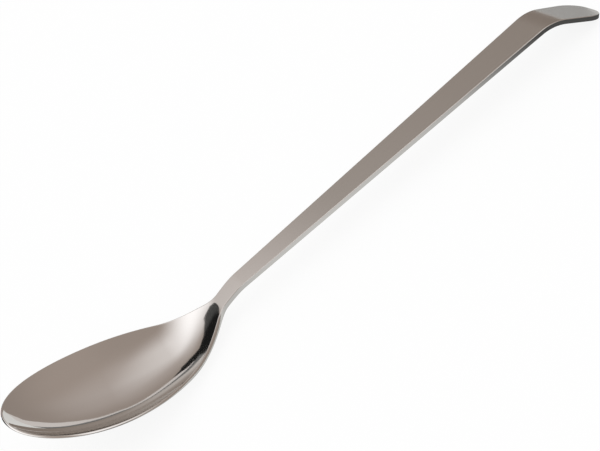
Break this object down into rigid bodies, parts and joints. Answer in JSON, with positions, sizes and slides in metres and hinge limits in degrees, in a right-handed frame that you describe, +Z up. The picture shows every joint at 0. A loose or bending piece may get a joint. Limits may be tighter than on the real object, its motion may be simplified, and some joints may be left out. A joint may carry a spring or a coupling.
{
  "type": "serving spoon",
  "caption": "One-piece steel serving spoon: a shallow egg-shaped bowl, a stepped neck, and a long flat handle that widens to a bent-down end.",
  "frame": {"origin": "on the table, under the middle of the lying spoon's box", "axes": "+X from the bowl's tip to the handle's end, +Y to the left, +Z up; the spoon lies on its bowl's underside and its hook's end"},
  "size_m": [0.3274, 0.067, 0.0368],
  "materials": {
    "steel": "polished stainless steel"
  },
  "bodies": {
    "root": {"spoon": "steel"}
  },
  "joints": []
}
